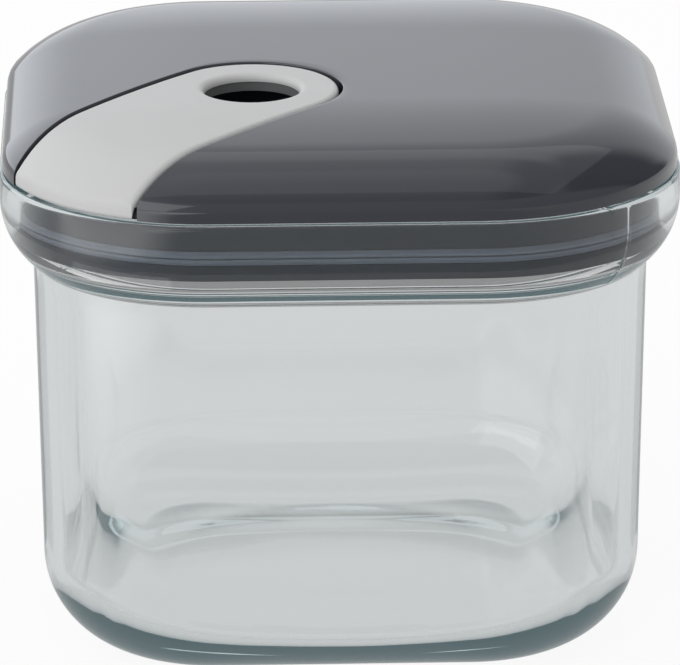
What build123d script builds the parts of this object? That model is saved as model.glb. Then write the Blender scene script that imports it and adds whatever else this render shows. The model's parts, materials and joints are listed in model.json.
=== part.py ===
from build123d import *
from math import acos, cos, degrees, radians, sin
import os

os.makedirs("parts", exist_ok=True)

# A square food canister of pressed glass. Its domed lid plugs into the collar with a silicone
# seal. A lever lies flush in one corner of the lid, hinged at the rim. Pulled up by its finger
# hole, it lifts a plug off the lid's vent and lets air in.
# Millimetres. The jar's heights count from the surface it stands on, the lid's from the rim.
# Every level section is a square core with rounded corners, so a profile is drawn once, outward
# from the corner axis, and carried round the core.

# Jar: plan
width = 132.0
corner_radius = 40.8
collar_wall = 3.8
collar_step = 6.3
body_taper = 1.0
body_wall = 3.8

# Jar: heights
jar_height = 97.2
collar_straight = 5.6
collar_drop = 17.2
ledge_depth = 14.6
floor_height = 6.6
floor_dish = 1.8
dish_radius = 43.0
heel_round = 19.0
inner_heel_round = 9.0
push_up = 2.0
foot_band = 0.7

# Jar: rounds
rim_round = 0.8
root_round = 0.8
ledge_round = 1.6
shoulder_round = 3.0

# Lid form
lid_setback = 0.6
lid_gap = 0.5
edge_height = 2.2
edge_radius = 3.3
edge_slope = 46
shoulder_radius = 23.6
crown_slope = 6.7

# Lid cover
cover_wall = 1.6
well_wall = 1.6
socket_radius = 3.2
socket_depth = 5.0
peg_radius = 1.8
peg_length = 4.0
peg_fit = 0.05
corner_peg_out = 4.8
side_peg_in = 7.2
side_peg_out = 25.8

# Lid base
plug_clearance = 0.7
base_wall = 1.8
base_floor = 2.2
plug_depth = 11.2
flange_thickness = 1.2
flange_fit = 0.1
groove_top = 5.7
groove_height = 2.7
groove_depth = 2.3
boss_radius = 2.2

# Seal
seal_fit = 0.1
seal_clearance = 0.15
lip_flat = 0.5
lip_slope = 0.6

# Lever
lever_half = 16.9
lever_draw = 1.4
lever_play = 0.8
lever_length = 49.0
hole_radius = 9.3
hole_lip = 1.4
lip_runout = 0.05
cap_wall = 1.6
cap_skirt = 1.4
skirt_depth = 4.5
end_round = 0.8
frame_thickness = 1.9
frame_fit = 0.1
frame_hole_play = 0.2
rib_depth = 2.0
rib_width = 1.5
rib_place = 8.0
rib_near = 6.8
rib_far = 34.8

# Hinge
pin_inset = 3.0
pin_height = 2.5
pin_radius = 0.65
pin_running = 0.05
pin_seat = 0.02
knuckle_radius = 1.3
knuckle_half = 3.3
knuckle_play = 0.2
ear_gap = 0.3
ear_width = 2.0

# Tray
tray_thickness = 1.4
tray_fit = 0.15
lever_clearance = 0.3
finger_radius = 11.5
finger_wall = 1.4
finger_floor = 3.0
screw_radius = 0.9
screw_fit = 0.05
screw_length = 7.0
screw_head_radius = 2.0
screw_head = 1.4
screw_slot_width = 0.6
screw_slot_depth = 0.6
screw_from_hinge = 13.8
screw_spread = 9.0

# Vent
vent_from_hinge = 22.8
vent_bore = 1.2
vent_wall = 1.8
vent_rise = 4.6
vent_play = 0.5
vent_gap = 0.05
plug_radius = 3.6
plug_thickness = 1.8
plug_stem = 1.0
plug_stem_length = 2.0
plug_boss = 2.6

# One-way valve
valve_from_peg = 12.4
valve_radius = 5.5
valve_rise = 1.6
valve_edge = 0.5
valve_crown = 2.4
valve_stem = 1.5
valve_stem_fit = 0.1
valve_bulb = 2.3
valve_bulb_drop = 1.5
valve_port = 0.9
valve_port_circle = 3.4
valve_ports = 4

# Worked out from the sizes above
overrun = width
core = width / 2 - corner_radius
mouth = corner_radius - collar_wall
body = corner_radius - collar_step
lid_reach = corner_radius - lid_setback
plug_reach = mouth - plug_clearance
flange_reach = lid_reach - cover_wall - flange_fit
tray_low = flange_thickness
tray_top = tray_low + tray_thickness
base_top = base_floor - plug_depth
diagonal = Rot(0, 0, 45)
corner_axis = core * 2 ** 0.5
hinge_place = corner_axis + lid_reach - pin_inset
hole_place = hinge_place - lever_length
vent_place = hinge_place - vent_from_hinge
screw_place = hinge_place - screw_from_hinge
corner_peg = core + corner_peg_out
valve_place = corner_peg * 2 ** 0.5 - valve_from_peg
opening_half = lever_half + lever_play
peg_seat = tray_top


def inward(centre, turn, slope):
    """Step back from an arc's centre, square to the arc where it has a slope."""
    return (centre[0] - turn * sin(radians(slope)), centre[1] - turn * cos(radians(slope)))


# The lid's outer curve is three arcs, each tangent to the next: edge, shoulder and crown. The crown
# ends level, over the core's edge.
edge_centre = (lid_reach - edge_radius, edge_height)
shoulder_centre = inward(edge_centre, shoulder_radius - edge_radius, edge_slope)
crown_radius = shoulder_radius + shoulder_centre[0] / sin(radians(crown_slope))
crown_centre = inward(shoulder_centre, crown_radius - shoulder_radius, crown_slope)
lid_rise = crown_centre[1] + crown_radius


def bend(start, corner, end):
    """Round a corner with an arc that leaves its start towards the corner."""
    return TangentArc(start, end, tangent=(corner[0] - start[0], corner[1] - start[1]))


def upright_end(start, end):
    """An arc that comes up from its start and stands upright at its end."""
    across, rise = end[0] - start[0], end[1] - start[1]
    radius = (across ** 2 + rise ** 2) / (2 * across)
    turn = degrees(acos((radius - across) / radius))
    return CenterArc((end[0] - radius, end[1]), radius, -turn, turn)


def outline(*stops):
    """Close an upright outline. A stop is a point, or an arc that runs on in the same sense."""
    arcs = [stop for stop in stops if isinstance(stop, Edge)]
    ends = [(stop @ 0, stop @ 1) if isinstance(stop, Edge) else (Vector(*stop),) * 2 for stop in stops]
    lines = [Line(leave, arrive) for (_, leave), (arrive, _) in zip(ends, ends[1:] + ends[:1])
             if leave != arrive]
    return Plane.XZ * make_face(Curve() + arcs + lines)


def carried(profile, low=0, high=0):
    """Carry a profile round the square core, and fill the core between two heights."""
    corner = Pos(core, core, 0) * revolve(profile, Axis.Z, 90)
    side = Pos(core, -core, 0) * extrude(profile, 2 * core, dir=(0, 1, 0))
    pieces = [Rot(0, 0, 90 * turn) * piece for turn in range(4) for piece in (corner, side)]
    if high > low:
        pieces.append(extrude(Pos(0, 0, low) * Rectangle(2 * core, 2 * core), high - low))
    return pieces[0].fuse(*pieces[1:]).clean()


def slab(reach, low, high):
    """A plate of the lid's plan, out to a reach from the corner axis."""
    return extrude(Pos(0, 0, low) * RectangleRounded(2 * (core + reach), 2 * (core + reach), reach),
                   high - low)


def lid_form(inset=0, low=0, foot=0):
    """The solid under the lid's outer surface, or under a surface a wall's thickness inside it."""
    reach, rise = lid_reach - inset, lid_rise - inset
    turn, crown_turn = 90 - edge_slope, 90 - crown_slope
    curve = []
    if inset < edge_radius:
        curve.append(CenterArc(edge_centre, edge_radius - inset, 0, turn))
    else:
        turn = degrees(acos((reach - shoulder_centre[0]) / (shoulder_radius - inset)))
    curve.append(CenterArc(shoulder_centre, shoulder_radius - inset, turn, crown_turn - turn))
    curve.append(CenterArc(crown_centre, crown_radius - inset, crown_turn, crown_slope))
    corner = (reach, low)
    if foot:
        corner = bend((reach - foot, low), (reach, low), (reach, low + foot))
    return carried(outline((0, low), corner, *curve), low, rise)


def strip(half_width, low, high):
    """An upright column on the lid's diagonal: the lever's plan, round at its inner end."""
    reach = corner_axis + corner_radius
    narrow = half_width - lever_draw
    sides = [TangentArc((-hole_place, side * half_width), (-reach, side * narrow), tangent=(-reach, 0))
             for side in (-1, 1)]
    ends = [Line(sides[0] @ end, sides[1] @ end) for end in (0, 1)]
    bar = make_face(Curve() + sides + ends)
    end = Pos(-hole_place, 0) * Circle(half_width)
    return diagonal * Pos(0, 0, low) * extrude(bar + end, high - low)


def upright(place, radius, low, high, across=0):
    """A cylinder standing on the lid's diagonal, at a place towards the lever's corner."""
    disc = Pos(-place, across, low) * Circle(radius)
    return diagonal * extrude(disc, high - low)


def across_hinge(radius, start, end):
    """A cylinder round the hinge axis, from one distance off the diagonal to another."""
    disc = Plane.XZ.offset(-start) * Pos(-hinge_place, pin_height) * Circle(radius)
    return diagonal * extrude(disc, end - start, dir=(0, 1, 0))


def cap(radius, rise):
    """A low cap of a sphere, standing on its edge circle."""
    ball = (radius ** 2 + rise ** 2) / (2 * rise)
    turn = degrees(acos(1 - rise / ball))
    return revolve(outline((0, 0), CenterArc((0, rise - ball), ball, 90 - turn, turn)), Axis.Z, 360)


def glass_jar():
    """Pressed glass: domed underside, rounded heel, dished floor, and a collar with a ledge for the lid."""
    root, flare = jar_height - collar_drop, jar_height - collar_straight
    ledge = jar_height - ledge_depth
    heel, cavity = body - body_taper, body - body_wall
    foot, inner = heel - heel_round, heel - body_wall
    profile = outline(
        (0, 0),
        bend((foot, 0), (heel, 0), (heel, heel_round)),
        bend((body, root - root_round), (body, root), (body + root_round, root)),
        upright_end((body + root_round, root), (corner_radius, flare)),
        bend((corner_radius, jar_height - rim_round), (corner_radius, jar_height),
             (corner_radius - rim_round, jar_height)),
        bend((mouth + rim_round, jar_height), (mouth, jar_height), (mouth, jar_height - rim_round)),
        bend((mouth, ledge + ledge_round), (mouth, ledge), (mouth - ledge_round, ledge)),
        bend((cavity + shoulder_round, ledge), (cavity, ledge), (cavity, ledge - shoulder_round)),
        bend((inner, floor_height + inner_heel_round), (inner, floor_height),
             (inner - inner_heel_round, floor_height)),
        (0, floor_height),
    )
    jar = carried(profile, 0, floor_height)
    jar -= Pos(0, 0, floor_height) * Rot(180, 0, 0) * cap(dish_radius, floor_dish)
    return jar - cap(core + foot - foot_band, push_up)


def peg_places():
    """Where the cover is pegged to the base, clear of the lever and the valve."""
    far, near = core + side_peg_out, core - side_peg_in
    corner = corner_peg
    return [(corner, corner), (corner, -corner), (-corner, corner), (-near, -far), (-far, -near)]


def standing(place, radius, low, high):
    """A cylinder standing at a point of the plan."""
    return extrude(Pos(place[0], place[1], low) * Circle(radius), high - low)


def lid_cover():
    """Thin domed shell, open at one corner, with a wall down round the opening and five sockets."""
    inside = lid_form(cover_wall)
    cover = lid_form(low=lid_gap) - inside
    wall = strip(opening_half + well_wall, tray_low + tray_fit, lid_rise)
    cover += wall & lid_form(low=lid_gap)
    cover -= strip(opening_half, 0, lid_rise + overrun)
    for place in peg_places():
        socket = standing(place, socket_radius, peg_seat, lid_rise) & inside
        cover += socket - strip(opening_half + well_wall, 0, lid_rise)
        cover -= standing(place, peg_radius + peg_fit, 0, peg_seat + socket_depth)
    return cover


def lid_base():
    """Plug of the lid: floor, groove for the seal, flange on the rim, bosses, vent and valve seat."""
    low, groove = -plug_depth, plug_reach - groove_depth
    groove_low, inner = -groove_top - groove_height, groove - base_wall
    step = base_wall - groove_top
    profile = outline(
        (0, low), (plug_reach, low), (plug_reach, groove_low), (groove, groove_low),
        (groove, -groove_top), (plug_reach, -groove_top), (plug_reach, 0), (flange_reach, 0),
        (flange_reach, flange_thickness), (plug_reach - base_wall, flange_thickness),
        (plug_reach - base_wall, step), (inner, step), (inner, base_top), (0, base_top),
    )
    base = carried(profile, low, base_top)
    notch = strip(opening_half, 0, flange_thickness) - slab(mouth, -overrun, overrun)
    base -= notch
    for place in peg_places():
        base += standing(place, socket_radius, base_top, peg_seat)
        base += standing(place, peg_radius, peg_seat, peg_seat + peg_length)
    for place, across in screw_places():
        base += upright(place, boss_radius, base_top, tray_low, across)
        base -= upright(place, screw_radius + screw_fit, tray_low - screw_length, tray_low, across)
    base += upright(vent_place, vent_bore + vent_wall, base_top, vent_rise)
    base -= upright(vent_place, vent_bore, low, vent_rise)
    base -= upright(-valve_place, valve_stem + valve_stem_fit, low, base_top)
    for turn in range(valve_ports):
        port = Rot(0, 0, 360 / valve_ports * turn) * Pos(valve_port_circle, 0, low) * Circle(valve_port)
        base -= diagonal * Pos(valve_place, 0, 0) * extrude(port, base_floor)
    return base


def seal_gasket():
    """Silicone ring in the plug's groove, with two lips that bear on the glass."""
    back = plug_reach - groove_depth
    high, low = -groove_top - seal_fit, seal_fit - groove_top - groove_height
    face, lip = plug_reach, mouth - seal_clearance
    middle = (high + low) / 2
    return carried(outline(
        (back, low), (face, low), (lip, low + lip_slope), (lip, low + lip_slope + lip_flat),
        (face, middle), (lip, high - lip_slope - lip_flat), (lip, high - lip_slope),
        (face, high), (back, high),
    ))


def screw_places():
    """Two screws beside the hinge and one past the finger well, as places along and across."""
    end = hole_place - finger_radius - finger_wall - boss_radius - screw_fit
    return [(screw_place, screw_spread), (screw_place, -screw_spread), (end, 0)]


def lever_tray():
    """Floor under the lever, with the finger well, the hinge ears and holes for vent and screws."""
    tray = strip(opening_half - tray_fit, tray_low, tray_top) & slab(mouth, -overrun, overrun)
    outer = finger_radius + finger_wall
    tray += upright(hole_place, outer, -finger_floor - finger_wall, tray_low)
    tray -= upright(hole_place, finger_radius, -finger_floor, tray_top)
    ear_start = knuckle_half + ear_gap
    notch_start = hinge_place - knuckle_radius - knuckle_play
    notch = Pos(-(notch_start + overrun / 2), 0, 0) * Box(overrun, 2 * ear_start, overrun)
    tray -= diagonal * notch
    for side in (-1, 1):
        start, end = side * ear_start, side * (ear_start + ear_width)
        tray += across_hinge(knuckle_radius, min(start, end), max(start, end))
    tray -= across_hinge(pin_radius + pin_seat, -overrun, overrun)
    tray -= upright(vent_place, vent_bore + vent_wall + vent_play, tray_low, tray_top)
    for place, across in screw_places():
        tray -= upright(place, screw_radius + screw_fit, tray_low, tray_top, across)
    return tray


def finger_cut():
    """What the finger hole takes off the cap: a bore that opens into a soft lip, like a trumpet."""
    high, wide = lid_rise + lip_runout, hole_radius + hole_lip
    lip = bend((hole_radius, lid_rise - hole_lip), (hole_radius, high), (wide, high))
    above = lid_rise + hole_lip
    profile = outline((0, 0), (hole_radius, 0), lip, (wide, above), (0, above))
    return diagonal * Pos(-hole_place, 0, 0) * revolve(profile, Axis.Z, 360)


def pull_lever():
    """Light cap of the lever: the lid's own surface, with skirts, end wall and finger hole."""
    cap = lid_form(low=lid_gap, foot=end_round) & strip(lever_half, 0, lid_rise)
    cap -= lid_form(skirt_depth)
    cap -= lid_form(cap_wall) & strip(lever_half - cap_skirt, 0, lid_rise)
    cap -= slab(lid_reach - cap_wall, 0, tray_top + lever_clearance)
    reach = knuckle_half + ear_gap + ear_width + ear_gap
    cap -= across_hinge(knuckle_radius + knuckle_play, -reach, reach)
    return cap - finger_cut()


def lever_frame():
    """Frame under the cap: a plate with two ribs, the hinge knuckle and the vent plug's boss."""
    under = cap_wall + frame_thickness
    half = lever_half - cap_skirt - frame_fit
    clear = tray_top + lever_clearance
    top = lid_form(cap_wall) & strip(half, clear, lid_rise)
    frame = top - lid_form(under)
    ribs = lid_form(under) - lid_form(under + rib_depth)
    middle = hinge_place - (rib_near + rib_far) / 2
    bars = [Pos(-middle, side * rib_place, lid_rise / 2) * Box(rib_far - rib_near, rib_width, lid_rise)
            for side in (-1, 1)]
    frame += ribs & (diagonal * (bars[0] + bars[1]))
    seat = vent_rise + vent_gap + plug_thickness
    frame += upright(vent_place, plug_boss, seat, lid_rise - cap_wall) & lid_form(cap_wall)
    frame -= upright(vent_place, plug_stem, seat, seat + plug_stem_length)
    ear_start, ear_end = knuckle_half + ear_gap, knuckle_half + ear_gap + ear_width
    for side in (-1, 1):
        start, end = side * (ear_start - ear_gap), side * (ear_end + ear_gap)
        frame -= across_hinge(knuckle_radius + knuckle_play, min(start, end), max(start, end))
    frame += across_hinge(knuckle_radius, -knuckle_half, knuckle_half)
    frame -= across_hinge(pin_radius + pin_running, -knuckle_half, knuckle_half)
    frame -= upright(hole_place, hole_radius + frame_hole_play, 0, lid_rise)
    return frame


def hinge_pin():
    """Steel pin through the ears and the knuckle."""
    reach = knuckle_half + ear_gap + ear_width
    return across_hinge(pin_radius, -reach, reach)


def vent_plug():
    """Silicone pad under the lever that lies on the vent's mouth, with a stem in the frame."""
    low = vent_rise + vent_gap
    top = low + plug_thickness
    return upright(vent_place, plug_radius, low, top) + upright(
        vent_place, plug_stem, top, top + plug_stem_length)


def umbrella_valve():
    """One-way silicone valve: a thin umbrella over the ports, a stem and a bulb below the floor."""
    low = -plug_depth - valve_bulb_drop
    profile = outline(
        (0, low), (valve_stem, low), (valve_bulb, -plug_depth), (valve_stem, -plug_depth),
        (valve_stem, base_top), (valve_radius, base_top),
        (valve_radius, base_top + valve_edge), (valve_crown, base_top + valve_rise),
        (0, base_top + valve_rise),
    )
    return diagonal * Pos(valve_place, 0, 0) * revolve(profile, Axis.Z, 360)


def tray_screws():
    """Three self-tapping screws with slotted pan heads."""
    screws = Part()
    for place, across in screw_places():
        shank = upright(place, screw_radius, tray_low - screw_length, tray_top, across)
        head = upright(place, screw_head_radius, tray_top, tray_top + screw_head, across)
        slot = Pos(-place, across, tray_top + screw_head) * Box(
            2 * screw_head_radius, screw_slot_width, 2 * screw_slot_depth)
        screws += shank + head - diagonal * slot
    return screws


on_rim = Pos(0, 0, jar_height)
pieces = {
    "glass_jar": glass_jar(),
    "lid_cover": on_rim * lid_cover(),
    "lid_base": on_rim * lid_base(),
    "seal_gasket": on_rim * seal_gasket(),
    "lever_tray": on_rim * lever_tray(),
    "tray_screws": on_rim * tray_screws(),
    "hinge_pin": on_rim * hinge_pin(),
    "umbrella_valve": on_rim * umbrella_valve(),
    "pull_lever": on_rim * pull_lever(),
    "lever_frame": on_rim * lever_frame(),
    "vent_plug": on_rim * vent_plug(),
}
for name, piece in pieces.items():
    export_step(piece, f"parts/{name}.step")
    print(name, len(piece.solids()), round(piece.volume, 1))
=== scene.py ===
import json
import logging
import math
from dataclasses import dataclass, field
from enum import Enum
from typing import Any, Callable, Sequence

import bmesh
import bpy
import numpy as np
from mathutils import Matrix, Vector


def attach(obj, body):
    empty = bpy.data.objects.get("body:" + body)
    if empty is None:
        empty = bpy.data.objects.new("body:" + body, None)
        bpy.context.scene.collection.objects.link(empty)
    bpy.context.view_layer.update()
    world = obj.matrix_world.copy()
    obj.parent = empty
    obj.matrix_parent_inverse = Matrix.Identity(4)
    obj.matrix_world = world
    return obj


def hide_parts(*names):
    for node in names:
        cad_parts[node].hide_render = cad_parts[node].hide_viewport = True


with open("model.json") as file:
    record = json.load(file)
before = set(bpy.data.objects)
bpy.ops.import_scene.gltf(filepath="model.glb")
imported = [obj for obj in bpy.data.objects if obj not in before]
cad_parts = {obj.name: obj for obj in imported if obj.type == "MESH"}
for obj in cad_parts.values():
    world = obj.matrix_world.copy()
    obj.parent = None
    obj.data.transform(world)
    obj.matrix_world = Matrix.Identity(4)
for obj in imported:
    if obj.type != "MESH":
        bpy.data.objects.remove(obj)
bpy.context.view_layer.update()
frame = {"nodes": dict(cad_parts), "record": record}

log = logging.getLogger("canister")

# The looks of a square glass canister with a domed plug lid, built round the frame's nodes.
# Sizes of the object and of the view are in millimetres. Patterns, lamps and the studio are in metres.
MM = 0.001
PHOTO_WIDTH = 680
SENSOR_WIDTH = 36.0
TINY = 1e-6
SHARP_ANGLE = math.radians(34)
RIM_HEIGHT = 97.2
COLLAR_REACH = 40.8
LID_SETBACK = 0.6
LID_REACH = COLLAR_REACH - LID_SETBACK

Array = np.ndarray
Colour = tuple[float, float, float]
Span = tuple[float, float]


class Slot(Enum):
    """The record's material slots."""

    GLASS = "clear_glass"
    COVER = "smoke_plastic"
    BASE = "dark_plastic"
    FRAME = "mid_plastic"
    LEVER = "light_plastic"
    SILICONE = "grey_silicone"
    STEEL = "steel"


class Body(Enum):
    """The bodies that the joints move."""

    JAR = "jar"
    LID = "lid"
    LEVER = "lever"


@dataclass(frozen=True)
class Pattern:
    """Smooth noise over a piece, by how many swells it has to the metre and how it is squeezed."""

    scale: float
    detail: float = 2.0
    roughness: float = 0.5
    squeeze: tuple[float, float, float] = (1, 1, 1)


def math_node(operation: str, swapped: bool = False) -> Callable[..., "Socket"]:
    """Make an operator that adds a Math node.

    Args:
        operation: The node's operation.
        swapped: Whether the socket is the last of its values.

    Returns:
        The operator.
    """
    def operator(socket: "Socket", *others: Any) -> "Socket":
        """Add the node on the socket and the others."""
        values = (*others, socket) if swapped else (socket, *others)
        return socket.graph.node("ShaderNodeMath", {"operation": operation}, dict(enumerate(values)))

    return operator


class Socket:
    """A shader socket whose arithmetic adds Math nodes."""

    def __init__(self, graph: "Graph", link: Any) -> None:
        """Keep a node's output socket and the graph that new nodes go into."""
        self.graph = graph
        self.link = link

    __add__ = __radd__ = math_node("ADD")
    __sub__ = math_node("SUBTRACT")
    __rsub__ = math_node("SUBTRACT", swapped=True)
    __mul__ = __rmul__ = math_node("MULTIPLY")
    __pow__ = math_node("POWER")
    __abs__ = math_node("ABSOLUTE")
    __gt__ = math_node("GREATER_THAN")
    greatest = math_node("MAXIMUM")


class Graph:
    """The node tree of a material or of the world."""

    def __init__(self, owner: Any) -> None:
        """Empty the owner's node tree and keep it.

        Args:
            owner: A material or a world.
        """
        owner.use_nodes = True
        self.tree = owner.node_tree
        self.tree.nodes.clear()

    def node(self, kind: str, settings: dict[str, Any] | None = None,
             inputs: dict[Any, Any] | None = None, output: Any = 0) -> Socket:
        """Add a node.

        Args:
            kind: The node's type.
            settings: Its properties, set first.
            inputs: Values or sockets, by the input's name or index.
            output: The output to return, by name or index.

        Returns:
            The chosen output socket.
        """
        node = self.tree.nodes.new(kind)
        for key, value in (settings or {}).items():
            setattr(node, key, value)
        for key, value in (inputs or {}).items():
            if isinstance(value, Socket):
                self.tree.links.new(value.link, node.inputs[key])
            else:
                node.inputs[key].default_value = value
        return Socket(self, node.outputs[output] if len(node.outputs) else None)

    def ray(self, fact: str) -> Socket:
        """A fact about the ray that sees the surface, by the Light Path node's name for it."""
        return self.node("ShaderNodeLightPath", output=fact)

    def rays(self) -> tuple[Socket, Socket, Socket]:
        """1 for a ray from the camera, for a mirrored one, and for one that passed through glass.

        A ray that passed through glass counts as glossy too, so the mirrored ones leave it out.
        """
        camera, glossy, through = (
            self.ray(f"Is {kind} Ray") for kind in ("Camera", "Glossy", "Transmission"))
        return camera, glossy * (1 - through), through

    def place(self, squeeze: Sequence[float] = (1, 1, 1)) -> Socket:
        """The point on the object, with space squeezed this much along each axis."""
        spot = self.node("ShaderNodeTexCoord", output="Object")
        return self.node("ShaderNodeMapping", {}, {"Vector": spot, "Scale": squeeze})

    def noise(self, pattern: Pattern) -> Socket:
        """Smooth noise from 0 to 1 about a mean of a half."""
        values = {"Vector": self.place(pattern.squeeze), "Scale": pattern.scale,
                  "Detail": pattern.detail, "Roughness": pattern.roughness}
        return self.node("ShaderNodeTexNoise", {}, values, "Fac")

    def bump(self, height: Socket, depth: float) -> Socket:
        """A bumped normal from a height of 0 to 1 and the depth in metres that it stands for."""
        return self.node("ShaderNodeBump", {}, {"Height": height, "Distance": depth})

    def mix(self, factor: Socket, low: Colour, high: Colour) -> Socket:
        """A colour between two."""
        inputs = {0: factor, 6: (*low, 1.0), 7: (*high, 1.0)}
        return self.node("ShaderNodeMix", {"data_type": "RGBA"}, inputs, 2)

    def surface(self, **values: Any) -> Socket:
        """A Principled shader with these values, by socket name with underscores for spaces."""
        inputs = {key.replace("_", " "): value for key, value in values.items()}
        return self.node("ShaderNodeBsdfPrincipled", {}, inputs)


@dataclass(frozen=True)
class Finish:
    """What every finish has: a name and a way to paint its graph."""

    name: str

    def paint(self, graph: Graph) -> dict[str, Socket]:
        """Build the nodes, and give the output's sockets by name."""
        raise NotImplementedError

    def material(self) -> bpy.types.Material:
        """Make the material.

        Returns:
            The material.
        """
        made = bpy.data.materials.new(self.name)
        graph = Graph(made)
        graph.node("ShaderNodeOutputMaterial", {}, self.paint(graph))
        return made


@dataclass(frozen=True)
class PressedGlass(Finish):
    """Clear pressed glass: faint waves in the surface, a tint that shows only through its depth, and a
    painted teal glow for light trapped inside.
    """

    tint: Colour = (0.55, 0.86, 0.91)
    depth_density: float = 12.0
    index: float = 1.5
    waves: Pattern = Pattern(1 / 0.022, 1.5, squeeze=(1, 1, 0.45))
    wave_depth: float = 0.00006
    # colour of the painted glow that stands in for light trapped inside the glass
    trapped_light_glow: Colour = (0.048, 0.064, 0.068)
    trapped_depth: float = 3.5

    def paint(self, graph: Graph) -> dict[str, Socket]:
        """Glass surface over an absorbing volume.

        Light that is reflected inside many times comes out dim and teal. A render stops following
        it after a few reflections, so past that depth the surface glows with that tone itself: a painted
        glow in place of the trapped light.

        Args:
            graph: The material's graph.

        Returns:
            The output's sockets by name.
        """
        # painted glow: past this glossy depth the glass emits a dim teal in place of the trapped light
        spent = graph.ray("Glossy Depth") > self.trapped_depth
        surface = graph.surface(
            Base_Color=(1, 1, 1, 1), Roughness=0.0, IOR=self.index, Transmission_Weight=1.0,
            Normal=graph.bump(graph.noise(self.waves), self.wave_depth),
            Emission_Color=graph.mix(spent, (0, 0, 0), self.trapped_light_glow), Emission_Strength=1.0,
        )
        volume = graph.node(
            "ShaderNodeVolumeAbsorption", {}, {"Color": (*self.tint, 1.0), "Density": self.depth_density})
        return {"Surface": surface, "Volume": volume}


@dataclass(frozen=True)
class Opaque(Finish):
    """What the opaque finishes share: a drifting tone, marks in the roughness and relief in the normal."""

    low: Colour
    high: Colour
    rough: float
    spread: float
    marks: Pattern
    relief: Pattern
    relief_depth: float
    drift: Pattern = Pattern(40.0, 3.0)
    power: float = 1.0
    index: float = 1.5
    metallic: float = 0.0

    def paint(self, graph: Graph) -> dict[str, Socket]:
        """Paint one surface, whose roughness is the least one plus a spread over the marks.

        Args:
            graph: The material's graph.

        Returns:
            The output's sockets by name.
        """
        return {"Surface": graph.surface(
            Base_Color=graph.mix(graph.noise(self.drift), self.low, self.high),
            Metallic=self.metallic,
            Roughness=self.rough + self.spread * graph.noise(self.marks) ** self.power,
            IOR=self.index,
            Normal=graph.bump(graph.noise(self.relief), self.relief_depth),
        )}


@dataclass(frozen=True)
class GlossPlastic(Opaque):
    """Glossy moulded plastic: a deep colour, a slight orange peel and long faint wiping marks."""

    low: Colour = (0.037, 0.039, 0.048)
    high: Colour = (0.041, 0.043, 0.053)
    rough: float = 0.055
    spread: float = 0.05
    power: float = 3.0
    drift: Pattern = Pattern(35.0)
    marks: Pattern = Pattern(18.0, 4.0, 0.6, (1, 6, 6))
    relief: Pattern = Pattern(1 / 0.0035, 1.0)
    relief_depth: float = 0.0000012


@dataclass(frozen=True)
class SatinPlastic(Opaque):
    """Matte moulded plastic with the fine spark-eroded grain of its mould."""

    low: Colour = (0.545, 0.545, 0.545)
    high: Colour = (0.585, 0.585, 0.585)
    index: float = 1.46
    rough: float = 0.45
    spread: float = 0.12
    relief: Pattern = Pattern(1 / 0.00035, 2.0, 0.6)
    marks: Pattern = relief
    relief_depth: float = 0.000012


@dataclass(frozen=True)
class SoftSilicone(Opaque):
    """Silicone rubber: dull, mottled, with dust-fine specks."""

    low: Colour = (0.15, 0.185, 0.235)
    high: Colour = (0.19, 0.228, 0.285)
    index: float = 1.41
    rough: float = 0.42
    spread: float = 0.2
    drift: Pattern = Pattern(260.0, 3.0)
    relief: Pattern = Pattern(2200.0)
    marks: Pattern = relief
    relief_depth: float = 0.000008


@dataclass(frozen=True)
class DrawnSteel(Opaque):
    """Drawn steel wire and turned screws: fine level lines in the tone, the roughness and the normal."""

    low: Colour = (0.448, 0.448, 0.456)
    high: Colour = (0.56, 0.56, 0.57)
    metallic: float = 1.0
    rough: float = 0.22
    spread: float = 0.2
    relief: Pattern = Pattern(900.0, 3.0, squeeze=(1, 1, 8))
    drift: Pattern = relief
    marks: Pattern = relief
    relief_depth: float = 0.000004


def unit(vectors: Array) -> Array:
    """Vectors brought to a length of one; one without a length stays as it is."""
    return vectors / np.maximum(np.linalg.norm(vectors, axis=-1), TINY)[..., None]


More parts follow.
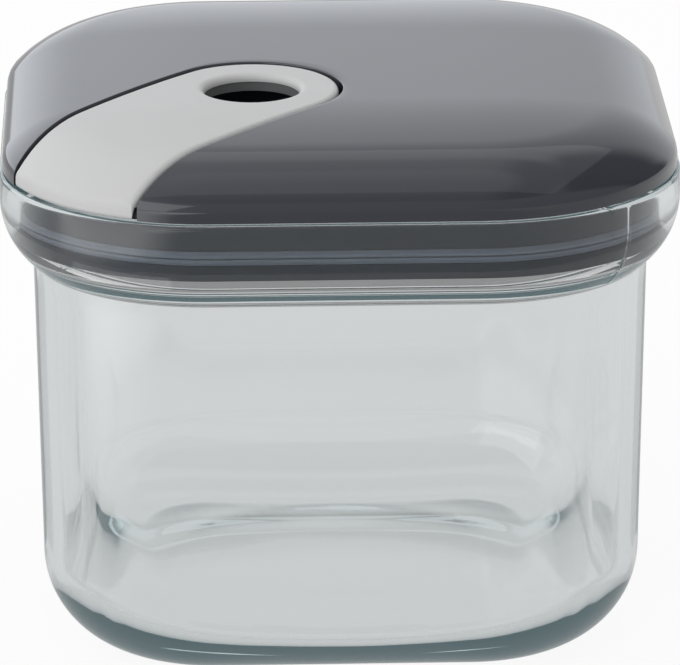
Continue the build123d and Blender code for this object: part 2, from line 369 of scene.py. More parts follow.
@dataclass(frozen=True)
class Plan:
    """The level section that every height shares: a square core with rounded corners."""

    core: float = 25.2
    corner_steps: int = 30
    side_steps: int = 14
    seam_turn: float = math.radians(1.2126)
    seam_steps: int = 9

    def path(self) -> tuple[Array, Array]:
        """Go once round the core.

        Each corner holds still while the normal turns a quarter, with extra steps about its
        diagonal, and each side holds the normal while the foot point moves along.

        Returns:
            The foot points on the core's edge and the outward normals, each of shape (n, 2).
        """
        even = np.linspace(0, math.pi / 2, self.corner_steps + 1)
        close = self.seam_turn * np.linspace(-1, 1, self.seam_steps)
        turn = np.unique(np.concatenate([even, math.pi / 4 + close]))
        along = np.linspace(1, -1, self.side_steps + 1)[1:-1] * self.core
        feet, normals = [], []
        for quarter in range(4):
            angle = quarter * math.pi / 2
            rotate = np.array([[math.cos(angle), math.sin(angle)], [-math.sin(angle), math.cos(angle)]])
            feet.append(np.full((turn.size, 2), self.core) @ rotate)
            normals.append(np.stack([np.cos(turn), np.sin(turn)], 1) @ rotate)
            feet.append(np.stack([along, np.full(along.size, self.core)], 1) @ rotate)
            normals.append(np.tile([0.0, 1.0], (along.size, 1)) @ rotate)
        return np.concatenate(feet), np.concatenate(normals)

    def carry(self, reach: Array, height: Array) -> Array:
        """Carry a profile round the core.

        A point goes out from the foot by its reach, or, where its reach is negative, in towards
        the middle as the core's edge shrinks.

        Args:
            reach: Distance out from the core's edge, shape (k,) or (k, n).
            height: Height, shape (k,).

        Returns:
            Points of shape (k, n, 3).
        """
        feet, normals = self.path()
        reach = reach.reshape(len(reach), -1)
        shrink = 1 + np.minimum(reach, 0) / self.core
        flat = feet * shrink[..., None] + normals * np.maximum(reach, 0)[..., None]
        level = np.broadcast_to(height.reshape(-1, 1, 1), (*flat.shape[:2], 1))
        return np.concatenate([flat, level], 2)

    def foot(self, points: Array) -> tuple[Array, Array, Array]:
        """Find the nearest points of the core.

        Args:
            points: Points of the plan, shape (..., 2).

        Returns:
            Foot points, outward normals and reaches.
        """
        feet = np.clip(points, -self.core, self.core)
        gap = points - feet
        return feet, unit(gap), np.linalg.norm(gap, axis=-1)

    def along(self, feet: Array, normals: Array, mean_reach: float) -> Array:
        """Measure how far round the core points lie, anticlockwise from the +X side's middle.

        Args:
            feet: Foot points on the core's edge.
            normals: Their outward normals.
            mean_reach: The reach at which a corner's turn is measured.

        Returns:
            The distances travelled.
        """
        quarter = 2 * self.core + mean_reach * math.pi / 2
        angle = np.mod(np.arctan2(normals[..., 1], normals[..., 0]), 2 * math.pi)
        turns = np.floor(angle / (math.pi / 2) + TINY)
        back = turns * math.pi / 2
        rest = angle - back
        forward = -np.sin(back) * feet[..., 0] + np.cos(back) * feet[..., 1]
        side = np.where(rest < TINY, forward, self.core)
        return turns * quarter + side + rest * mean_reach

    def at(self, distance: Array, mean_reach: float) -> tuple[Array, Array]:
        """Find the points at distances travelled, the inverse of along.

        Args:
            distance: The distances travelled.
            mean_reach: The reach at which a corner's turn is measured.

        Returns:
            Foot points and outward normals.
        """
        quarter = 2 * self.core + mean_reach * math.pi / 2
        turns = np.floor((distance + self.core) / quarter)
        rest = distance + self.core - turns * quarter
        forward = np.minimum(rest, 2 * self.core) - self.core
        bend = np.maximum(rest - 2 * self.core, 0) / mean_reach
        back = turns * math.pi / 2
        out = np.stack([np.cos(back), np.sin(back)], -1)
        left = np.stack([-np.sin(back), np.cos(back)], -1)
        feet = out * self.core + left * forward[..., None]
        normals = out * np.cos(bend)[..., None] + left * np.sin(bend)[..., None]
        return feet, normals


@dataclass(frozen=True)
class LidCurve:
    """The lid's outer curve: an upright edge, then edge, shoulder and crown arcs, each tangent."""

    reach: float = LID_REACH
    edge_height: float = 2.2
    edge_radius: float = 3.3
    edge_slope: float = math.radians(46)
    shoulder_radius: float = 23.6
    crown_slope: float = math.radians(6.7)

    def arcs(self, inset: float = 0.0) -> list[tuple[float, float, float]]:
        """Each arc's centre and radius, for the curve a wall's thickness inside the outer one.

        Args:
            inset: The thickness.

        Returns:
            Reach and height of the centre, and the radius, for edge, shoulder and crown.
        """
        made = [(self.reach - self.edge_radius, self.edge_height, self.edge_radius)]
        step = self.shoulder_radius - self.edge_radius
        made.append((made[0][0] - step * math.sin(self.edge_slope),
                     made[0][1] - step * math.cos(self.edge_slope), self.shoulder_radius))
        step = made[1][0] / math.sin(self.crown_slope)
        made.append((0.0, made[1][1] - step * math.cos(self.crown_slope), self.shoulder_radius + step))
        return [(x, z, max(radius - inset, 0.0)) for x, z, radius in made]

    @staticmethod
    def over(arc_made: tuple[float, float, float], out: Array) -> Array:
        """Height of an arc, given by its centre and radius, over reaches."""
        x, z, radius = arc_made
        return z + np.sqrt(np.maximum(radius ** 2 - (out - x) ** 2, 0))

    def height(self, reach: Array, inset: float = 0.0) -> Array:
        """Height of the curve over a reach: the arc that covers it, or the level top inside the core.

        Args:
            reach: Distances out from the core's edge.
            inset: How far inside the outer surface the curve lies.

        Returns:
            Heights over the rim.
        """
        edge, shoulder, crown = self.arcs(inset)
        inner = crown[2] * math.sin(self.crown_slope)
        outer = shoulder[0] + shoulder[2] * math.sin(self.edge_slope)
        out = np.clip(reach, 0, self.reach - inset)
        sides = np.where(out < outer, self.over(shoulder, out), self.over(edge, out))
        return np.where(out < inner, self.over(crown, out), sides)


@dataclass(frozen=True)
class Strip:
    """The lever's plan: a strip on the lid's diagonal, round at its inner end, drawn in at the rim."""

    half: float
    length: float = 49.0
    pin_inset: float = 3.0
    draw: float = 1.4
    settle_rounds: int = 20
    plan: Plan = Plan()

    @property
    def axis(self) -> float:
        """Place of the corner axis along the diagonal."""
        return self.plan.core * math.sqrt(2)

    @property
    def hole_place(self) -> float:
        """Place of the finger hole along the diagonal, a lever's length in from the hinge pin."""
        return self.axis + LID_REACH - self.pin_inset - self.length

    def to_plan(self, along: Array, across: Array) -> Array:
        """Turn places along the diagonal, towards the lever's corner, and across it into x and y."""
        root = math.sqrt(0.5)
        return np.stack([(across - along) * root, -(across + along) * root], -1)

    def width(self, along: Array) -> Array:
        """Half width at a place: full up to the hole, then drawn in as the square of the distance."""
        share = np.clip((along - self.hole_place) / (self.axis + COLLAR_REACH - self.hole_place), 0, 1)
        return self.half - self.draw * share ** 2

    def rim_angle(self, reach: float) -> float:
        """Find where the strip's side meets a reach, by steps that settle.

        Args:
            reach: The reach from the corner axis.

        Returns:
            The angle off the diagonal.
        """
        angle = 0.0
        for _ in range(self.settle_rounds):
            angle = math.asin(float(self.width(self.axis + reach * math.cos(angle))) / reach)
        return angle

    def opening(self, reach: float, side_count: int, end_count: int) -> Array:
        """Draw the outline from one rim corner round the inner end to the other.

        Args:
            reach: The reach of the rim corners.
            side_count: Points on each side.
            end_count: Points on the round end.

        Returns:
            Points of the plan, shape (n, 2).
        """
        start = self.axis + reach * math.cos(self.rim_angle(reach))
        side = start + (self.hole_place - start) * np.linspace(0, 1, side_count)
        width = self.width(side)
        turn = np.linspace(0, math.pi, end_count)
        end_along, end_across = self.hole_place - self.half * np.sin(turn), self.half * np.cos(turn)
        along = np.concatenate([side[:-1], end_along, side[-2::-1]])
        across = np.concatenate([width[:-1], end_across, -width[-2::-1]])
        return self.to_plan(along, across)

    def rim(self, reach: float, count: int) -> Array:
        """The strip's outer end on the lid's edge, from the far side back to the near one."""
        angle = self.rim_angle(reach) * np.linspace(-1, 1, count)
        return self.to_plan(self.axis + reach * np.cos(angle), reach * np.sin(angle))


def add_object(name: str, data: Any) -> bpy.types.Object:
    """Make an object and link it to the scene.

    Args:
        name: Its name.
        data: Its mesh, lamp or camera.

    Returns:
        The object.
    """
    made = bpy.data.objects.new(name, data)
    bpy.context.scene.collection.objects.link(made)
    return made


def ring_faces(rows: int, columns: int, close_rows: bool, close_columns: bool) -> Array:
    """Quads of a grid whose points run along columns first.

    Args:
        rows: Number of rows.
        columns: Number of columns.
        close_rows: Whether the last row joins the first.
        close_columns: Whether the last column joins the first.

    Returns:
        Indices of shape (n, 4).
    """
    row = np.arange(rows if close_rows else rows - 1)
    column = np.arange(columns if close_columns else columns - 1)
    r, c = (part.ravel() for part in np.meshgrid(row, column, indexing="ij"))
    r_next, c_next = (r + 1) % rows, (c + 1) % columns
    return np.stack([r * columns + c, r * columns + c_next,
                     r_next * columns + c_next, r_next * columns + c], 1)


def make_piece(
    name: str, points: Array, close_rows: bool, close_columns: bool,
    caps: Sequence[Sequence[int]] = (),
) -> bpy.types.Object:
    """Turn a grid of points into a closed, smooth-shaded object.

    Args:
        name: The object's name.
        points: Grid of shape (rows, columns, 3), in millimetres.
        close_rows: Whether the last row joins the first.
        close_columns: Whether the last column joins the first.
        caps: Extra faces, as lists of point indices.

    Returns:
        The object, at the origin, linked to the scene.
    """
    rows, columns = points.shape[:2]
    faces = ring_faces(rows, columns, close_rows, close_columns).tolist() + [list(cap) for cap in caps]
    mesh = bpy.data.meshes.new(name)
    mesh.from_pydata((points.reshape(-1, 3) * MM).tolist(), [], faces)
    work = bmesh.new()
    work.from_mesh(mesh)
    bmesh.ops.remove_doubles(work, verts=work.verts, dist=TINY)
    bmesh.ops.dissolve_degenerate(work, edges=work.edges, dist=TINY)
    bmesh.ops.recalc_face_normals(work, faces=work.faces)
    open_edges = sum(1 for edge in work.edges if not edge.is_manifold)
    work.to_mesh(mesh)
    work.free()
    mesh.polygons.foreach_set("use_smooth", np.ones(len(mesh.polygons), dtype=bool))
    mesh.set_sharp_from_angle(angle=SHARP_ANGLE)
    log.info("%s: %d faces, %d open edges", name, len(mesh.polygons), open_edges)
    return add_object(name, mesh)


def arc(centre: Sequence[float], radius: float, start: float, end: float, count: int) -> Array:
    """Points on an arc about a centre, from one angle in degrees to another, shape (count, 2)."""
    angle = np.radians(np.linspace(start, end, count))
    return np.stack([centre[0] + radius * np.cos(angle), centre[1] + radius * np.sin(angle)], 1)


def toward(start: Sequence[float], end: Sequence[float], count: int) -> Array:
    """Points on a straight run, without its start, shape (count, 2)."""
    share = np.linspace(0, 1, count + 1)[1:, None]
    return np.asarray(start) + (np.asarray(end) - np.asarray(start)) * share


@dataclass
class Assembly:
    """What each sub-assembly shares: the plan, the rim's height and a way to hand pieces over."""

    plan: Plan = field(default_factory=Plan)
    rim: float = RIM_HEIGHT

    def lift(self, points: Array) -> Array:
        """Raise points that count from the rim to the frame they are shown in."""
        return points + np.array([0, 0, self.rim])

    def hand_over(
        self, piece: bpy.types.Object, body: Body, slot: Slot, finish: bpy.types.Material, *nodes: str
    ) -> None:
        """Dress a piece, let it ride on its body and say which nodes it stands for.

        Args:
            piece: The finished object.
            body: The body that it moves with.
            slot: The record's slot of its finish. Not used.
            finish: Its material.
            nodes: The nodes that it replaces.
        """
        piece.data.materials.append(finish)
        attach(piece, body.value)
        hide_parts(*nodes)


@dataclass
class GlassJar(Assembly):
    """The pressed-glass jar: foot, rounded heel, body, collar with its ledge, and mould seams."""

    corner: float = COLLAR_REACH
    collar_wall: float = 3.8
    collar_step: float = 6.3
    body_taper: float = 1.0
    body_wall: float = 3.8
    collar_straight: float = 5.6
    collar_drop: float = 17.2
    ledge_depth: float = 14.6
    floor_middle: float = 4.8
    dish_rise: float = 1.2
    dish_radius: float = 45.0
    dish_power: int = 4
    dish_top: float = 40.0
    dish_fade: float = 20.0
    heel_round: float = 19.0
    inner_round: float = 9.0
    foot_band: float = 0.7
    push_up: float = 0.6
    small_round: float = 0.8
    ledge_round: float = 1.6
    shoulder_round: float = 3.0
    seam_height: float = 0.16
    seam_width: float = 0.45
    floor_rows: int = 26
    heel_rows: int = 30
    body_rows: int = 16
    root_rows: int = 6
    flare_rows: int = 22
    collar_rows: int = 6
    rim_rows: int = 9
    mouth_rows: int = 8
    ledge_rows: int = 8
    shoulder_rows: int = 12
    wall_rows: int = 24
    inner_heel_rows: int = 25
    seam_first_row: int = 34
    seam_last_row: int = 6

    def outside(self) -> Array:
        """Draw the outer profile.

        Returns:
            Reaches and heights from the middle of the underside up to the rim, shape (n, 2).
        """
        body = self.corner - self.collar_step
        heel = body - self.body_taper
        foot, root = heel - self.heel_round, self.rim - self.collar_drop
        small = self.small_round
        flare = self.rim - self.collar_straight
        across, rise = self.corner - body - small, flare - root
        radius = (across ** 2 + rise ** 2) / (2 * across)
        turn = math.degrees(math.acos((radius - across) / radius))
        top = self.rim - small
        return np.concatenate([
            toward((-self.plan.core, 0), (foot, 0), self.floor_rows),
            arc((foot, self.heel_round), self.heel_round, -90, 0, self.heel_rows)[1:],
            toward((heel, self.heel_round), (body, root - small), self.body_rows),
            arc((body + small, root - small), small, 180, 90, self.root_rows)[1:],
            arc((self.corner - radius, flare), radius, -turn, 0, self.flare_rows)[1:],
            toward((self.corner, flare), (self.corner, top), self.collar_rows),
            arc((self.corner - small, top), small, 0, 90, self.rim_rows)[1:],
        ])

    def inside(self) -> Array:
        """Draw the inner profile.

        Returns:
            Reaches and heights from the rim down to the middle of the floor, shape (n, 2).
        """
        small, top = self.small_round, self.rim - self.small_round
        mouth, ledge = self.corner - self.collar_wall, self.rim - self.ledge_depth
        cavity = self.corner - self.collar_step - self.body_wall
        inner, bend = cavity - self.body_taper, self.inner_round
        return np.concatenate([
            arc((mouth + small, top), small, 90, 180, self.rim_rows),
            toward((mouth, top), (mouth, ledge + self.ledge_round), self.mouth_rows),
            arc((mouth - self.ledge_round, ledge + self.ledge_round), self.ledge_round,
                0, -90, self.ledge_rows)[1:],
            arc((cavity + self.shoulder_round, ledge - self.shoulder_round), self.shoulder_round,
                90, 180, self.shoulder_rows)[1:],
            toward((cavity, ledge - self.shoulder_round), (inner, self.floor_middle + bend), self.wall_rows),
            arc((inner - bend, self.floor_middle + bend), bend, 0, -90, self.inner_heel_rows)[1:],
            toward((inner - bend, self.floor_middle), (-self.plan.core, self.floor_middle), self.floor_rows),
        ])

    def seam(self, reach: Array) -> Array:
        """Add the mould's two seams: a low bell across one diagonal of the collar.

        Args:
            reach: Reach of each row, shape (k,).

        Returns:
            Reach of each point, shape (k, n).
        """
        _, normals = self.plan.path()
        off = np.abs(normals[:, 0] + normals[:, 1]) / math.sqrt(2) * self.corner
        bell = self.seam_height * np.exp(-(off / self.seam_width) ** 2)
        return reach[:, None] + bell[None, :]

    def bow(self, points: Array, inner: int) -> None:
        """Raise the underside's middle as a round bowl, and the floor's edge by a power of its distance.

        Args:
            points: The jar's grid, which is changed.
            inner: Its first row below the mouth inside.
        """
        foot = self.corner - self.collar_step - self.body_taper - self.heel_round
        away = np.hypot(points[..., 0], points[..., 1])
        under = slice(0, self.floor_rows + 1)
        bowl = 1 - (away[under] / (self.plan.core + foot - self.foot_band)) ** 2
        points[under, :, 2] += self.push_up * np.maximum(0, bowl)
        share = np.clip((self.dish_top - points[inner:, :, 2]) / self.dish_fade, 0, 1)
        dish = (away[inner:] / self.dish_radius) ** self.dish_power
        points[inner:, :, 2] += self.dish_rise * dish * share

    def build(self, finish: bpy.types.Material) -> None:
        """Make the jar.

        Args:
            finish: The glass.
        """
        outside, inside = self.outside(), self.inside()
        start = np.array([[-self.plan.core, 0.0]])
        profile = np.concatenate([start, outside, inside[1:]])
        columns = self.plan.path()[0].shape[0]
        reach = np.tile(profile[:, :1], (1, columns))
        seamed = slice(len(outside) - self.seam_first_row, len(outside) - self.seam_last_row)
        reach[seamed] = self.seam(profile[seamed, 0])
        points = self.plan.carry(reach, profile[:, 1])
        self.bow(points, len(outside) + self.rim_rows + self.mouth_rows)
        jar = make_piece("glass_jar_body", points, False, True)
        self.hand_over(jar, Body.JAR, Slot.GLASS, finish, "glass_jar")


class Section:
    """The rows of a lid shell's section, each a line of plan points with its heights."""

    def __init__(self, top: Callable[[Array, float], Array]) -> None:
        """Start with no rows, and keep the way to find the lid's height over points, inside by an inset."""
        self.rows: list[Array] = []
        self.top = top

    def add(self, flat: Array, height: Array | float) -> None:
        """Add a row of plan points, shape (n, 2), with one height or one for each point."""
        level = np.broadcast_to(height, len(flat))
        self.rows.append(np.concatenate([flat, level[:, None]], 1))

    def cross(self, start: Array, end: Array, shares: Array, inset: float = 0.0) -> None:
        """Add rows on the lid's surface, or inside it, at these shares of the way between two lines."""
        for flat in start + (end - start) * shares[:, None, None]:
            self.add(flat, self.top(flat, inset))

    def grid(self) -> Array:
        """All the rows, shape (rows, n, 3)."""
        return np.stack(self.rows)


@dataclass
class LidPiece(Assembly):
    """What the cover and the lever share: the lid's curve, a wall and the gap over the rim."""

    curve: LidCurve = field(default_factory=LidCurve)
    wall: float = 1.6
    gap: float = 0.5

    def top(self, points: Array, inset: float = 0.0) -> Array:
        """Height of the lid's surface, or of one inside it, over points of the plan."""
        return self.curve.height(self.plan.foot(points)[2], inset)


@dataclass
class LidCover(LidPiece):
    """The glossy domed cover, open at one corner for the lever, with a wall round the opening."""

    opening_half: float = 17.7
    well_low: float = 1.35
    edge: float = 0.35
    thin_share: float = 0.45
    start_inset: float = 0.3
    turn_share: float = 0.3
    far_crowding: float = 2.2
    side_count: int = 60
    end_count: int = 121
    well_rows: int = 5
    edge_rows: int = 6
    near_rows: int = 22
    far_rows: int = 34
    side_rows: int = 4
    under_rows: int = 16

    def lines(self) -> tuple[Array, Array, Array]:
        """Lay the plan's lines from the opening to the lid's edge.

        Beside the opening's straight sides a line follows the lid's own meridian. Round the
        inner end the lines fan out over the rest of the edge, spaced evenly.

        Returns:
            Start, turning point and end of each line, each of shape (n, 2).
        """
        strip = Strip(self.opening_half, plan=self.plan)
        start = strip.opening(self.curve.reach - self.start_inset, self.side_count, self.end_count)
        feet, normals, reach = self.plan.foot(start)
        mean = self.curve.reach / 2
        first, last = self.side_count - 1, len(start) - self.side_count
        travelled = self.plan.along(feet[[first, last]], normals[[first, last]], mean)
        total = 4 * (2 * self.plan.core + mean * math.pi / 2)
        span = (travelled[1] - travelled[0]) % total
        even = travelled[0] + span * np.linspace(0, 1, last - first + 1)
        feet[first:last + 1], normals[first:last + 1] = self.plan.at(even, mean)
        turn_reach = reach + self.turn_share * (self.curve.reach - reach)
        return start, feet + normals * turn_reach[:, None], feet + normals * self.curve.reach

    def section(self) -> Array:
        """Follow the shell's section on every line, over its top and back under it.

        Returns:
            The closed section, shape (rows, lines, 3).
        """
        start, turn, end = self.lines()
        length = np.linalg.norm(end - start, axis=1)
        thin = np.minimum(1, self.thin_share * length / self.wall)[:, None]
        inward, outward = unit(turn - start), unit(end - turn)
        edge, wall = self.edge * thin, self.wall * thin
        section = Section(self.top)
        crest = start + inward * edge
        for share in np.linspace(0, 1, self.well_rows):
            section.add(start, self.well_low + share * (self.top(crest) - edge[:, 0] - self.well_low))
        for angle in np.linspace(0, math.pi / 2, self.edge_rows)[1:]:
            section.add(start + inward * edge * (1 - math.cos(angle)),
                        self.top(crest) - edge[:, 0] * (1 - math.sin(angle)))
        section.cross(crest, turn, np.linspace(0, 1, self.near_rows)[1:])
        section.cross(turn, end, 1 - (1 - np.linspace(0, 1, self.far_rows)[1:]) ** self.far_crowding)
        for share in np.linspace(0, 1, self.side_rows)[1:]:
            section.add(end, self.curve.edge_height + share * (self.gap - self.curve.edge_height))
        inner_end, inner_start = end - outward * wall, start + inward * wall
        for share in np.linspace(0, 1, self.side_rows):
            section.add(inner_end, self.gap + share * (self.top(inner_end, self.wall) - self.gap))
        section.cross(inner_end, inner_start, np.linspace(0, 1, self.under_rows)[1:], self.wall)
        section.add(inner_start, self.well_low)
        return section.grid()

    def build(self, finish: bpy.types.Material) -> None:
        """Make the cover, with its two cut ends closed.

        Args:
            finish: The gloss plastic.
        """
        points = self.lift(self.section())
        rows, columns = points.shape[:2]
        caps = [[row * columns for row in range(rows)],
                [row * columns + columns - 1 for row in reversed(range(rows))]]
        cover = make_piece("domed_cover", points, True, False, caps)
        self.hand_over(cover, Body.LID, Slot.COVER, finish, "lid_cover")


@dataclass
class PullLever(LidPiece):
    """The light cap of the lever: it carries on the lid's surface and has a soft-lipped finger hole."""

    half: float = 16.9
    hole_radius: float = 9.3
    lip: float = 1.4
    skirt: float = 1.4
    skirt_slack: float = 0.1
    skirt_depth: float = 4.5
    skirt_low: float = 2.9
    end_round: float = 0.8
    end_share: float = 0.999
    edge: float = 1.1
    crowding: float = 1.7
    side_count: int = 70
    end_count: int = 61
    rim_count: int = 41
    lip_rows: int = 10
    top_rows: int = 46
    edge_rows: int = 9
    side_rows: int = 5
    foot_rows: int = 6
    under_rows: int = 12

    def border(self, inset: float) -> Array:
        """Draw the cap's outline.

        Args:
            inset: How far the outline is drawn in.

        Returns:
            A closed ring of points of the plan, shape (n, 2).
        """
        strip = Strip(self.half - inset, plan=self.plan)
        reach = self.curve.reach - inset
        opening = strip.opening(reach, self.side_count, self.end_count)
        rim = strip.rim(reach, self.rim_count)
        return np.concatenate([opening, rim[1:-1]])

    def on_rim(self) -> Array:
        """Mark the border's outer end.

        Returns:
            1 on the outer end, 0 on the sides and the round end, for each point of the border.
        """
        around = 2 * self.side_count + self.end_count - 2
        mask = np.zeros(around + self.rim_count - 2)
        mask[around:] = 1
        mask[[0, around - 1]] = 1
        return mask

    def section(self) -> Array:
        """Follow the cap's section on every line from the hole to the border and back under it.

        Returns:
            The closed section, shape (rows, lines, 3).
        """
        strip = Strip(self.half, plan=self.plan)
        centre = strip.to_plan(np.array(strip.hole_place), np.array(0.0))
        outer = self.border(0.0)
        ray = unit(outer - centre)
        rim = self.on_rim()
        low = np.where(rim > 0, self.gap, np.maximum(self.top(outer, self.skirt_depth), self.skirt_low))
        section = Section(self.top)
        hole, lip = centre + ray * self.hole_radius, centre + ray * (self.hole_radius + self.lip)
        section.add(hole, self.top(hole, self.wall))
        for angle in np.linspace(0, math.pi / 2, self.lip_rows):
            flat = hole + ray * self.lip * (1 - math.cos(angle))
            section.add(flat, self.top(lip) - self.lip * (1 - math.sin(angle)))
        shoulder = self.border(self.edge)
        section.cross(lip, shoulder, 1 - (1 - np.linspace(0, 1, self.top_rows)[1:]) ** self.crowding)
        for angle in np.linspace(0, math.pi / 2, self.edge_rows)[1:]:
            flat = self.border(self.edge * (1 - math.sin(angle)))
            section.add(flat, self.top(flat) - (1 - rim) * self.edge * (1 - math.cos(angle)))
        side_top = self.top(outer) - (1 - rim) * self.edge
        foot = low + rim * self.end_round
        for share in np.linspace(0, 1, self.side_rows)[1:]:
            section.add(outer, side_top + share * (foot - side_top))
        for angle in np.linspace(0, math.pi / 2, self.foot_rows)[1:]:
            flat = self.border(self.end_round * (1 - math.cos(angle)) * self.end_share)
            flat = outer + (flat - outer) * rim[:, None]
            section.add(flat, low + rim * self.end_round * (1 - math.sin(angle)))
        inner = self.border(self.skirt + self.skirt_slack)
        section.add(inner, low)
        section.add(inner, self.top(inner, self.wall))
        section.cross(inner, hole, np.linspace(0, 1, self.under_rows)[1:-1], self.wall)
        return section.grid()

    def build(self, finish: bpy.types.Material) -> None:
        """Make the cap.

        Args:
            finish: The light plastic.
        """
        cap = make_piece("lever_cap", self.lift(self.section()), True, True)
        self.hand_over(cap, Body.LEVER, Slot.LEVER, finish, "pull_lever")


def dress_nodes(finishes: dict[Slot, bpy.types.Material]) -> None:
    """Give each node that keeps its own shape the finish of its slot.

    Args:
        finishes: The finishes by slot.
    """
    slots = {part["node"]: part["material_slot"] for part in frame["record"]["subparts"]}
    for name, node in frame["nodes"].items():
        node.data.materials.clear()
        node.data.materials.append(finishes[Slot(slots[name])])
        log.info("%s: dressed as %s", name, slots[name])


@dataclass(frozen=True)
class View:
    """The photograph's viewpoint, about the middle of the jar's rim. Lengths are in millimetres."""

    yaw: float = math.radians(-1.659)
    elevation: float = math.radians(16.675)
    distance: float = 1208.2
    roll: float = math.radians(-0.175)
    aim_across: float = 0.653
    aim_height: float = -43.22
    pixels_per_mm: float = 5.054
    rim: float = RIM_HEIGHT
    nearest: float = 50.0
    farthest: float = 50000.0

    def place(self) -> None:
        """Set the camera up."""
        rim = Vector((0, 0, self.rim))
        level = math.cos(self.elevation)
        away = Vector((math.sin(self.yaw) * level, -math.cos(self.yaw) * level, math.sin(self.elevation)))
        eye = rim + away * self.distance
        aim = rim + Vector((self.aim_across * math.cos(self.yaw), self.aim_across * math.sin(self.yaw),
                            self.aim_height))
        look = (aim - eye).normalized()
        right = look.cross(Vector((0, 0, 1))).normalized()
        up = right.cross(look)
        turned = right * math.cos(self.roll) + up * math.sin(self.roll)
        data = bpy.data.cameras.new("camera")
        data.sensor_fit = "HORIZONTAL"
        data.sensor_width = SENSOR_WIDTH
        data.lens = self.pixels_per_mm * self.distance / PHOTO_WIDTH * SENSOR_WIDTH
        data.clip_start, data.clip_end = self.nearest * MM, self.farthest * MM
        camera = add_object("camera", data)
        axes = Matrix((turned, turned.cross(look), look * -1)).transposed()
        camera.matrix_world = Matrix.Translation(eye * MM) @ axes.to_4x4()
        bpy.context.scene.camera = camera


@dataclass(frozen=True)
class Lamp:
    """A soft rectangular lamp: its place and size, and its power in watts."""

    name: str
    place: tuple[float, float, float]
    size: tuple[float, float]
    watts: float

    def hang(self, aim_height: float) -> None:
        """Make the lamp and turn it to the object.

        Args:
            aim_height: Height of the point on the object's axis that it faces.
        """
        data = bpy.data.lights.new(self.name, "AREA")
        data.shape = "RECTANGLE"
        data.size, data.size_y = self.size
        data.energy = self.watts
        lamp = add_object(self.name, data)
        look = Vector((0, 0, aim_height)) - Vector(self.place)
        lamp.rotation_euler = look.to_track_quat("-Z", "Y").to_euler()
        lamp.location = self.place


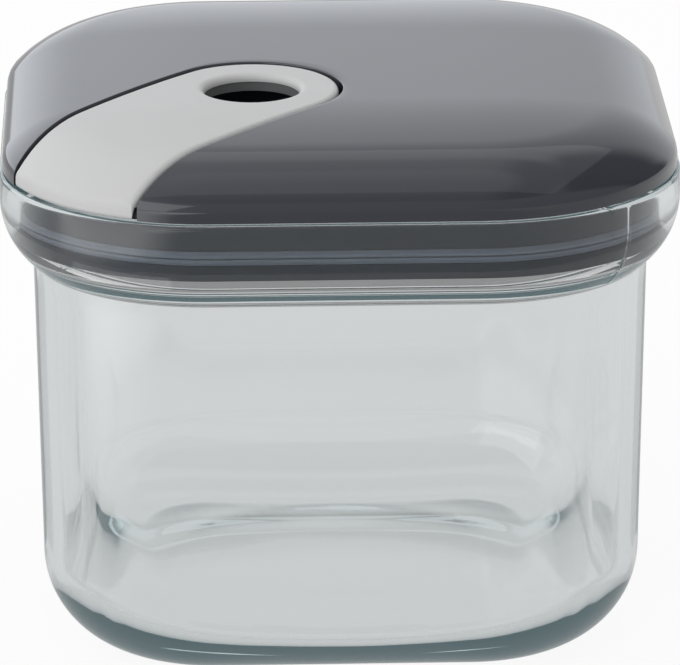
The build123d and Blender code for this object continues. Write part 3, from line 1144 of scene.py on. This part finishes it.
@dataclass(frozen=True)
class Studio:
    """A pale floor, a white surround and soft lamps. A span is where an ease starts and ends."""

    floor_half: float = 8.0
    floor_drop: float = 0.00004
    floor_tone: Colour = (0.80, 0.80, 0.80)
    seen_white: float = 1.02
    through_tone: float = 0.66
    glow_share: float = 0.9
    table_front: float = 0.40
    table_left: float = 2.4
    table_right: float = 0.35
    table_back_span: Span = (-0.25, 0.1)
    table_left_span: Span = (-0.12, -0.26)
    table_ahead_span: Span = (0.0, -0.12)
    table_right_span: Span = (0.10, 0.35)
    facing_blend: float = 0.5
    # painted shade on the table seen through glass at grazing angles, for the jar's contact shadow
    painted_shade_depth: float = 0.7
    painted_shade_span: Span = (0.74, 0.92)
    sky_fill: float = 0.60
    sky_tint: Colour = (0.93, 0.96, 1.0)
    sky_front: float = 0.55
    sky_back: float = 1.10
    sky_low: float = 0.30
    sky_left: float = 0.75
    sky_right: float = 0.05
    back_span: Span = (-0.15, 0.45)
    low_span: Span = (0.75, 0.10)
    left_span: Span = (-0.12, -0.60)
    right_span: Span = (0.45, 0.75)
    right_low_span: Span = (0.85, 0.75)
    fade_depth: float = 0.2
    fade_span: Span = (-0.1, 0.2)
    panel_turn: float = math.radians(66)
    panel_depth: float = 0.86
    panel_span: Span = (0.48, 0.24)
    panel_ahead_span: Span = (0.40, 0.52)
    shade_all: float = 0.32
    shade_right: float = 0.45
    shade_low_span: Span = (0.84, 0.90)
    shade_high_span: Span = (0.985, 0.95)
    shade_right_span: Span = (0.10, 0.25)
    lamp_aim: float = 0.06
    lamps: tuple[Lamp, ...] = (
        Lamp("overhead", (0.0, 0.5, 1.9), (2.4, 2.0), 6.0),
        Lamp("left_front", (-1.5, -1.1, 1.1), (2.6, 2.0), 21.0),
    )

    @staticmethod
    def ease(value: Socket, span: Span) -> Socket:
        """Ease from 0 to 1 as a value goes over a span."""
        return value.graph.node("ShaderNodeMapRange", {"interpolation_type": "SMOOTHSTEP"},
                                {"Value": value, "From Min": span[0], "From Max": span[1]})

    @staticmethod
    def part(vector: Socket, axis: Sequence[float]) -> Socket:
        """How far a vector goes along an axis."""
        return vector.graph.node("ShaderNodeVectorMath", {"operation": "DOT_PRODUCT"},
                                 {0: vector, 1: tuple(axis)}, "Value")

    def floor(self) -> None:
        """Lay a large plane: white to the camera, a table of uneven light in gloss, a pale tone through
        glass with painted shade at grazing angles, and lit for the rest.
        """
        half, low = self.floor_half, -self.floor_drop
        corners = [(-half, -half, low), (half, -half, low), (half, half, low), (-half, half, low)]
        mesh = bpy.data.meshes.new("floor")
        mesh.from_pydata(corners, [], [(0, 1, 2, 3)])
        made = add_object("floor", mesh)
        material = bpy.data.materials.new("pale_floor")
        graph = Graph(material)
        camera, mirrored, through = graph.rays()
        spot = graph.place()
        across, along = self.part(spot, (1, 0, 0)), self.part(spot, (0, 1, 0))
        back = self.ease(along, self.table_back_span) * (self.through_tone - self.table_front)
        left = self.ease(across, self.table_left_span) * self.ease(along, self.table_ahead_span)
        right = self.ease(across, self.table_right_span)
        table = self.table_front + back + left * self.table_left + right * self.table_right
        # painted shade: the table seen through the glass darkens at grazing angles, standing in for the
        # jar's contact shadow
        facing = graph.node("ShaderNodeLayerWeight", {}, {"Blend": self.facing_blend}, "Facing")
        painted_shade = self.painted_shade_depth * self.ease(facing, self.painted_shade_span)
        level = camera * self.seen_white + mirrored * table
        level = level + through * self.through_tone * (1 - painted_shade)
        glow = graph.node("ShaderNodeEmission", {}, {"Strength": level})
        matte = graph.node("ShaderNodeBsdfDiffuse", {}, {"Color": (*self.floor_tone, 1.0)})
        share = camera.greatest(mirrored.greatest(through)) * self.glow_share
        mixed = graph.node("ShaderNodeMixShader", {}, {0: share, 1: matte, 2: glow})
        graph.node("ShaderNodeOutputMaterial", {}, {"Surface": mixed})
        made.data.materials.append(material)

    def sky(self, graph: Graph) -> Socket:
        """What gloss reflects: bright behind and to the left, dim in front, with a dark panel to the right.

        Args:
            graph: The world's graph.

        Returns:
            The brightness by direction.
        """
        way = graph.node("ShaderNodeTexCoord", output="Generated")
        across, along, up = (self.part(way, axis) for axis in ((1, 0, 0), (0, 1, 0), (0, 0, 1)))
        turn = self.panel_turn
        beside = abs(self.part(way, (math.cos(turn), -math.sin(turn), 0)))
        ahead = self.part(way, (math.sin(turn), math.cos(turn), 0))
        panel = self.ease(beside, self.panel_span) * self.ease(ahead, self.panel_ahead_span)
        shade = self.ease(up, self.shade_low_span) * self.ease(up, self.shade_high_span)
        shade = shade * (self.shade_all + self.ease(across, self.shade_right_span) * self.shade_right)
        back = self.sky_back - self.sky_front + self.ease(up, self.low_span) * self.sky_low
        right = self.ease(across, self.right_span) * self.ease(up, self.right_low_span)
        level = self.sky_front + self.ease(along, self.back_span) * back
        level = level + self.ease(across, self.left_span) * self.sky_left + right * self.sky_right
        level = level * (1 - self.fade_depth * self.ease(across, self.fade_span))
        return level * (1 - self.panel_depth * panel) * (1 - shade)

    def surround(self) -> None:
        """Make the world: white to the camera, pale through glass, uneven for gloss and even for light."""
        world = bpy.data.worlds.new("studio")
        bpy.context.scene.world = world
        graph = Graph(world)
        camera, mirrored, through = graph.rays()
        rest = (1 - camera) * (1 - mirrored) * (1 - through)
        level = camera + mirrored * self.sky(graph) + rest * self.sky_fill + through * self.through_tone
        colour = graph.mix(mirrored, (1.0, 1.0, 1.0), self.sky_tint)
        glow = graph.node("ShaderNodeBackground", {}, {"Color": colour, "Strength": level})
        graph.node("ShaderNodeOutputWorld", {}, {"Surface": glow})

    def light(self) -> None:
        """Set up the floor, the surround and the lamps."""
        self.floor()
        self.surround()
        for lamp in self.lamps:
            lamp.hang(self.lamp_aim)


def main() -> None:
    """Build the canister's looks round the frame."""
    logging.basicConfig(level=logging.INFO, format="%(message)s")
    bpy.context.scene.view_settings.view_transform = "Standard"
    View().place()
    Studio().light()
    finishes = {
        Slot.GLASS: PressedGlass("pressed_glass").material(),
        Slot.COVER: GlossPlastic("smoke_gloss").material(),
        Slot.BASE: SatinPlastic("dark_satin", (0.014, 0.022, 0.036), (0.018, 0.027, 0.042)).material(),
        Slot.FRAME: SatinPlastic("mid_satin", (0.13, 0.132, 0.135), (0.15, 0.152, 0.155)).material(),
        Slot.LEVER: SatinPlastic("light_satin").material(),
        Slot.SILICONE: SoftSilicone("grey_silicone_rubber").material(),
        Slot.STEEL: DrawnSteel("drawn_steel").material(),
    }
    dress_nodes(finishes)
    GlassJar().build(finishes[Slot.GLASS])
    LidCover().build(finishes[Slot.COVER])
    PullLever().build(finishes[Slot.LEVER])


if __name__ == "__main__":
    main()
